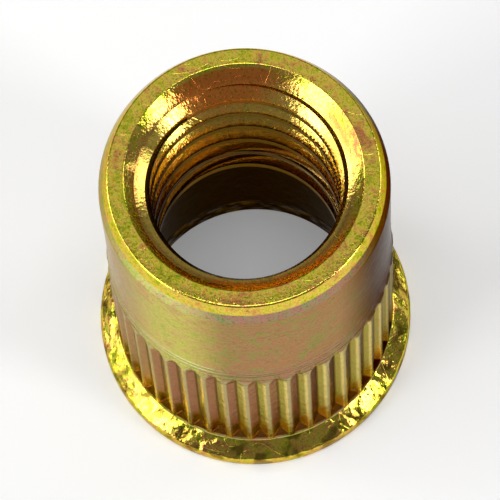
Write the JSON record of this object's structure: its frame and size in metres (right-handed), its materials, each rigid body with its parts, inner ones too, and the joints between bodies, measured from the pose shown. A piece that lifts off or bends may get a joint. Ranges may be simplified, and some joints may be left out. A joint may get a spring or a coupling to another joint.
{
  "type": "ribbed rivet nut",
  "caption": "Ribbed rivet nut with a thin flange, a straight-knurled gripping zone, a plain barrel and a through thread; set blind in a sheet to give it a strong thread.",
  "frame": {"origin": "centre of the flange's outer face, which the nut stands on", "axes": "+Z along the nut's axis, from the flange towards the threaded mouth; the nut looks the same from every side, so X and Y are free"},
  "size_m": [0.0142, 0.0142, 0.0191],
  "materials": {
    "yellow_zinc_steel": "steel with yellow zinc chromate plating, glossy, with a gold, olive and pink sheen and fine handling scratches"
  },
  "bodies": {
    "root": {"rivet_nut": "yellow_zinc_steel"}
  },
  "joints": []
}
